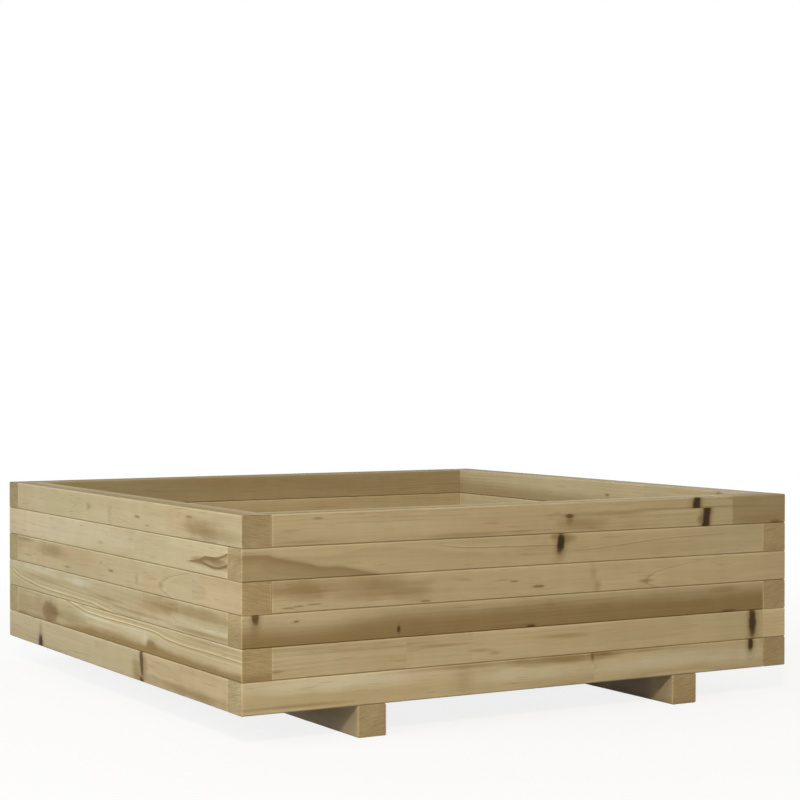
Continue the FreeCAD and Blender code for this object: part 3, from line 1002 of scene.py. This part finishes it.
        # Painted shade darkens the top of the rim
        if self.rim:
            colour = graph.mix(rim_shade_mask, colour, wood.rim_painted_shade, "MULTIPLY")
        bump = graph.add("ShaderNodeBump", {
            "Strength": wood.relief_strength, "Distance": wood.relief, "Height": finish["Relief"]})
        return graph.surface(graph.add("ShaderNodeBsdfPrincipled", {
            "Base Color": colour, "Roughness": finish["Roughness"], "Normal": bump.outputs[0],
            "Specular IOR Level": wood.gloss}))


def pine_groups(wood):
    """The node groups that all bars share, made once"""
    made = bpy.data.node_groups
    if "pine_finish" not in made:
        pine_rings_group()
        pine_arch_group()
        pine_knot_group()
        pine_stain_group()
        pine_grain_group()
        pine_finish_group(wood)
    return {name: made[f"pine_{name}"] for name in ("rings", "arch", "knot", "stain", "grain", "finish")}


# Bars as a joiner planes them

def only_select(piece):
    bpy.ops.object.select_all(action="DESELECT")
    bpy.context.view_layer.objects.active = piece
    piece.select_set(True)


def select_edges(mesh, wanted):
    bpy.ops.mesh.select_mode(type="EDGE")
    bpy.ops.mesh.select_all(action="DESELECT")
    shape = bmesh.from_edit_mesh(mesh)
    for edge in shape.edges:
        edge.select_set(wanted(edge))
    bmesh.update_edit_mesh(mesh)


def blank_bar(length, width, height):
    """A planed bar along X over the origin, with rounded arrises and eased ends, to be copied"""
    shape = bpy.context.scene.planter_shape
    bpy.ops.object.select_all(action="DESELECT")
    bpy.ops.mesh.primitive_cube_add(size=1, scale=(length, width, height))
    bar = bpy.context.object
    bar.name = "blank_bar"
    bpy.ops.object.transform_apply(location=True, rotation=True, scale=True)

    def lengthwise(edge):
        return abs(edge.verts[0].co.x - edge.verts[1].co.x) > shape.end_ease

    bpy.ops.object.mode_set(mode="EDIT")
    select_edges(bar.data, lengthwise)
    bpy.ops.mesh.subdivide(number_cuts=round(length / shape.wear_step))
    select_edges(bar.data, lambda edge: lengthwise(edge) and edge.calc_face_angle(0) > SHARP)
    bpy.ops.mesh.bevel(
        offset=shape.arris_radius, segments=ARRIS_SEGMENTS, affect="EDGES", clamp_overlap=False)
    select_edges(bar.data, lambda edge: not lengthwise(edge) and edge.calc_face_angle(0) > SHARP)
    bpy.ops.mesh.bevel(
        offset=shape.end_ease, segments=END_SEGMENTS, affect="EDGES", clamp_overlap=False)
    bpy.ops.object.mode_set(mode="OBJECT")
    return bar


def placed_copy(blank, timber):
    """A copy of a blank with its own mesh, laid where its node is"""
    only_select(blank)
    bpy.ops.object.duplicate(linked=False)
    bar = bpy.context.object
    bar.name = f"{timber.node}_planed"
    bar.data.name = bar.name
    bar.location = timber.middle
    bar.rotation_euler.z = timber.turn
    bpy.ops.object.transform_apply(location=True, rotation=True, scale=True)
    wear_arrises(bar)
    return bar


def wear_arrises(bar):
    """Small knocks along the arrises, as deep as the settings say"""
    shape = bpy.context.scene.planter_shape
    corners = bar.vertex_groups.new(name="arrises")
    slanted = [v.index for v in bar.data.vertices if sorted(abs(x) for x in v.normal)[1] > ARRIS_SLANT]
    corners.add(slanted, 1.0, "REPLACE")
    knocks = bpy.data.textures.get("arris_knocks") or bpy.data.textures.new("arris_knocks", "CLOUDS")
    knocks.noise_scale = shape.wear_size
    wear = bar.modifiers.new("wear", "DISPLACE")
    wear.texture = knocks
    wear.texture_coords = "GLOBAL"
    wear.vertex_group = corners.name
    wear.strength = -shape.wear_depth
    wear.mid_level = WEAR_MIDDLE
    bpy.ops.object.modifier_apply(modifier=wear.name)
    bar.vertex_groups.clear()


def screw_heads(node):
    """The middle and the head's radius of each screw in a node, read from a merged copy of its mesh"""
    copy = bpy.data.objects.new("screw_copy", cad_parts[node].data.copy())
    bpy.context.scene.collection.objects.link(copy)
    only_select(copy)
    bpy.ops.object.mode_set(mode="EDIT")
    bpy.ops.mesh.select_all(action="SELECT")
    bpy.ops.mesh.remove_doubles(threshold=MERGE_DISTANCE)
    bpy.ops.mesh.separate(type="LOOSE")
    bpy.ops.object.mode_set(mode="OBJECT")
    heads = []
    for part in bpy.context.selected_objects:
        low, high = (Vector(part.bound_box[corner]) for corner in (0, 6))
        heads.append(((low + high) / 2, (high.x - low.x) / 2))
    bpy.ops.object.delete()
    return heads


def sink_heads(bar, heads, face):
    """Bores the sinkings that hold screw heads into the face at a height"""
    low, high = (Vector(bar.bound_box[corner]) for corner in (0, 6))
    found = [head for head in heads if low.x < head[0].x < high.x and low.y < head[0].y < high.y]
    cutters = []
    for middle, radius in found:
        bpy.ops.mesh.primitive_cylinder_add(
            vertices=SINKING_SIDES, radius=radius * SINKING_FIT, depth=radius * 2,
            location=(middle.x, middle.y, face))
        cutters.append(bpy.context.object)
    bpy.ops.object.select_all(action="DESELECT")
    for cutter in cutters:
        cutter.select_set(True)
    bpy.ops.object.join()
    cutter = bpy.context.object
    only_select(bar)
    bore = bar.modifiers.new("bore", "BOOLEAN")
    bore.operation = "DIFFERENCE"
    bore.solver = "EXACT"
    bore.object = cutter
    bpy.ops.object.modifier_apply(modifier=bore.name)
    bpy.data.objects.remove(cutter)


def finish_bar(bar, timber):
    """Shading, wood and place in the frame"""
    only_select(bar)
    bpy.ops.object.shade_smooth_by_angle(angle=SMOOTH)
    even = bar.modifiers.new("even", "WEIGHTED_NORMAL")
    even.keep_sharp = True
    even.weight = 100
    bpy.ops.object.modifier_apply(modifier=even.name)
    wood = bpy.context.scene.planter_wood
    bar.data.materials.clear()
    bar.data.materials.append(timber.material(wood, pine_groups(wood)))
    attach(bar, "root")
    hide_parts(timber.node)


def laid_bars(nodes, turns, seeds, tone=1.0):
    """Planes and lays one bar after another, with its wood as it is seen or else as chance has it"""
    figure_seed, wood_seed = seeds
    blank = None
    for number, (node, turn) in enumerate(zip(nodes, turns)):
        figure = SEEN.get(node) or chance_figure(random.Random(figure_seed + number), tone)
        timber = Timber(node, turn, wood_seed + number, figure)
        blank = blank or blank_bar(timber.length, timber.width, timber.height)
        yield placed_copy(blank, timber), timber
    bpy.data.objects.remove(blank)


class PLANTER_OT_lay_wall(bpy.types.Operator):
    """Planes the wall's beams and gives each its own wood"""

    bl_idname = "planter.lay_wall"
    bl_label = "Lay Wall"

    def execute(self, context):
        underside, top = (corner.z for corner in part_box("front_beam_1"))
        lowest = [head for head in screw_heads("beam_screws") if head[0].z < top]
        turns = [90 * SIDES.index(node.split("_")[0]) for node in BEAMS]
        for bar, timber in laid_bars(BEAMS, turns, WALL_SEEDS):
            if timber.middle.z < top:
                sink_heads(bar, lowest, underside)
            finish_bar(bar, timber)
        return {"FINISHED"}


class PLANTER_OT_lay_runners(bpy.types.Operator):
    """Planes the two runners that carry the planter"""

    bl_idname = "planter.lay_runners"
    bl_label = "Lay Runners"

    def execute(self, context):
        heads = screw_heads("runner_screws")
        turns = [90 for _ in RUNNERS]
        # The runners' darker tone is in part painted shade on their sides
        for bar, timber in laid_bars(RUNNERS, turns, RUNNER_SEEDS, RUNNER_TONE_AND_SHADE):
            sink_heads(bar, heads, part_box(timber.node)[0].z)
            finish_bar(bar, timber)
        return {"FINISHED"}


class PLANTER_OT_lay_floor(bpy.types.Operator):
    """Planes the floor slats and sinks their screws"""

    bl_idname = "planter.lay_floor"
    bl_label = "Lay Floor"

    def execute(self, context):
        heads = screw_heads("floor_screws")
        turns = [0 for _ in SLATS]
        for bar, timber in laid_bars(SLATS, turns, FLOOR_SEEDS):
            sink_heads(bar, heads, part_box(timber.node)[1].z)
            finish_bar(bar, timber)
        return {"FINISHED"}


class PLANTER_OT_plate_screws(bpy.types.Operator):
    """Gives the screws their zinc plating"""

    bl_idname = "planter.plate_screws"
    bl_label = "Plate Screws"

    def execute(self, context):
        metal = context.scene.planter_metal
        graph = Graph.material("zinc_plating")
        where = graph.add("ShaderNodeTexCoord").outputs["Object"]
        dull = graph.smooth(graph.noise(where, TARNISH_PATCHES, 4.0, 0.6), 0.42, 0.68)
        plating = graph.surface(graph.add("ShaderNodeBsdfPrincipled", {
            "Base Color": graph.mix(dull, metal.zinc, metal.tarnish),
            "Roughness": graph.linear(dull, metal.bright_roughness, metal.dull_roughness),
            "Metallic": 1.0}))
        for node in SCREWS:
            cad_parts[node].material_slots[0].material = plating
        return {"FINISHED"}


# Stage

def lamp(name, direction, size, power, colour):
    """A square lamp that stands in a direction from the planter and faces it"""
    stage = bpy.context.scene.planter_stage
    middle = Vector((0, 0, TOP / 2))
    away = Vector(direction).normalized()
    bpy.ops.object.light_add(type="AREA", location=middle + away * stage.lamp_distance)
    made = bpy.context.object
    made.name = name
    made.rotation_euler = away.to_track_quat("Z", "Y").to_euler()
    made.data.size = size
    made.data.energy = power
    made.data.color = colour


def background_rays(graph):
    """1 for rays that see the background: the camera's, and those that shiny things send on"""
    path = graph.add("ShaderNodeLightPath").outputs
    return graph.largest(path["Is Camera Ray"], path["Is Glossy Ray"], path["Is Transmission Ray"])


def floor_material(stage):
    """A pale floor that keeps the planter's shadow, dark under its middle and whiter with distance"""
    graph = Graph.material("pale_floor")
    where = graph.add("ShaderNodeTexCoord").outputs["Object"]
    axes = graph.split(where)
    deep = graph.product(
        graph.smooth(axes["X"], *SHADE_FROM_LEFT), graph.smooth(axes["Y"], *SHADE_FROM_FRONT))
    inner = graph.product(*(graph.smooth(axes[axis], *SHADE_TO) for axis in "XY"))
    far = graph.smooth(graph.vector("LENGTH", where), *WHITE_FROM, NEAR_WHITE, 1.0)
    far = graph.product(far, graph.linear(graph.product(deep, inner), 1.0, 0.0))
    covered = graph.product(*(
        graph.smooth(graph.math("ABSOLUTE", axes[axis]), *COVERED_TO) for axis in "XY"))
    seen = background_rays(graph)
    lit = graph.add("ShaderNodeBsdfDiffuse", {"Color": graph.mix(seen, stage.floor, SEEN_FLOOR)})
    glow = graph.add("ShaderNodeEmission", {
        "Color": (*stage.glow, 1.0), "Strength": graph.product(covered, graph.linear(seen, 1.0, 0.0))})
    both = graph.add("ShaderNodeAddShader")
    graph.wire(lit.outputs[0], both.inputs[0])
    graph.wire(glow.outputs[0], both.inputs[1])
    white = graph.add("ShaderNodeEmission", {"Strength": 1.0})
    mixed = graph.add("ShaderNodeMixShader")
    graph.wire(graph.product(far, seen), mixed.inputs[0])
    graph.wire(both.outputs[0], mixed.inputs[1])
    graph.wire(white.outputs[0], mixed.inputs[2])
    return graph.surface(mixed)


def light_world(scene, stage):
    """Even light from all round, in front of a white background"""
    world = bpy.data.worlds.new("studio")
    scene.world = world
    world.use_nodes = True
    world.node_tree.nodes.clear()
    graph = Graph(world.node_tree)
    strength = graph.linear(background_rays(graph), stage.sky, 1.0)
    background = graph.add("ShaderNodeBackground", {"Color": (1, 1, 1, 1), "Strength": strength})
    output = graph.add("ShaderNodeOutputWorld")
    graph.wire(background.outputs[0], output.inputs["Surface"])


class PLANTER_OT_set_stage(bpy.types.Operator):
    """Sets the floor, lamps, background and camera"""

    bl_idname = "planter.set_stage"
    bl_label = "Set Stage"

    def execute(self, context):
        stage = context.scene.planter_stage
        bpy.ops.object.select_all(action="DESELECT")
        bpy.ops.mesh.primitive_plane_add(size=stage.floor_side)
        floor = bpy.context.object
        floor.name = "floor"
        floor.data.materials.append(floor_material(stage))
        for name, (direction, width) in LAMPS.items():
            power = getattr(stage, f"{name}_power")
            colour = getattr(stage, f"{name}_colour")
            lamp(f"{name}_lamp", direction, width, power, colour)
        light_world(context.scene, stage)

        bpy.ops.object.camera_add(location=stage.eye, rotation=(math.pi / 2 - stage.tilt, 0, stage.turn))
        camera = bpy.context.object
        camera.name = "camera"
        camera.data.lens = stage.lens
        camera.data.sensor_width = SENSOR_WIDTH
        context.scene.camera = camera
        context.scene.view_settings.view_transform = "Standard"
        return {"FINISHED"}


class PLANTER_PT_sidebar(bpy.types.Panel):
    """Lists the planter's settings and steps"""

    bl_label = "Stacked Beam Planter"
    bl_idname = "PLANTER_PT_sidebar"
    bl_space_type = "VIEW_3D"
    bl_region_type = "UI"
    bl_category = "Planter"

    def draw(self, context):
        for name, settings in SETTINGS.items():
            box = self.layout.box()
            for prop in settings.__annotations__:
                box.prop(getattr(context.scene, name), prop)
        for step in STEPS:
            self.layout.operator(step.bl_idname)


SETTINGS = {
    "planter_wood": PlanterWood,
    "planter_shape": PlanterShape,
    "planter_metal": PlanterMetal,
    "planter_stage": PlanterStage,
}
STEPS = (
    PLANTER_OT_lay_wall,
    PLANTER_OT_lay_runners,
    PLANTER_OT_lay_floor,
    PLANTER_OT_plate_screws,
    PLANTER_OT_set_stage,
)


def register():
    for made in (*SETTINGS.values(), *STEPS, PLANTER_PT_sidebar):
        bpy.utils.register_class(made)
    for name, group in SETTINGS.items():
        setattr(bpy.types.Scene, name, bpy.props.PointerProperty(type=group))


def unregister():
    for name in SETTINGS:
        delattr(bpy.types.Scene, name)
    for made in reversed((*SETTINGS.values(), *STEPS, PLANTER_PT_sidebar)):
        bpy.utils.unregister_class(made)


def main():
    register()
    bpy.ops.planter.lay_wall()
    bpy.ops.planter.lay_runners()
    bpy.ops.planter.lay_floor()
    bpy.ops.planter.plate_screws()
    bpy.ops.planter.set_stage()


if __name__ == "__main__":
    main()
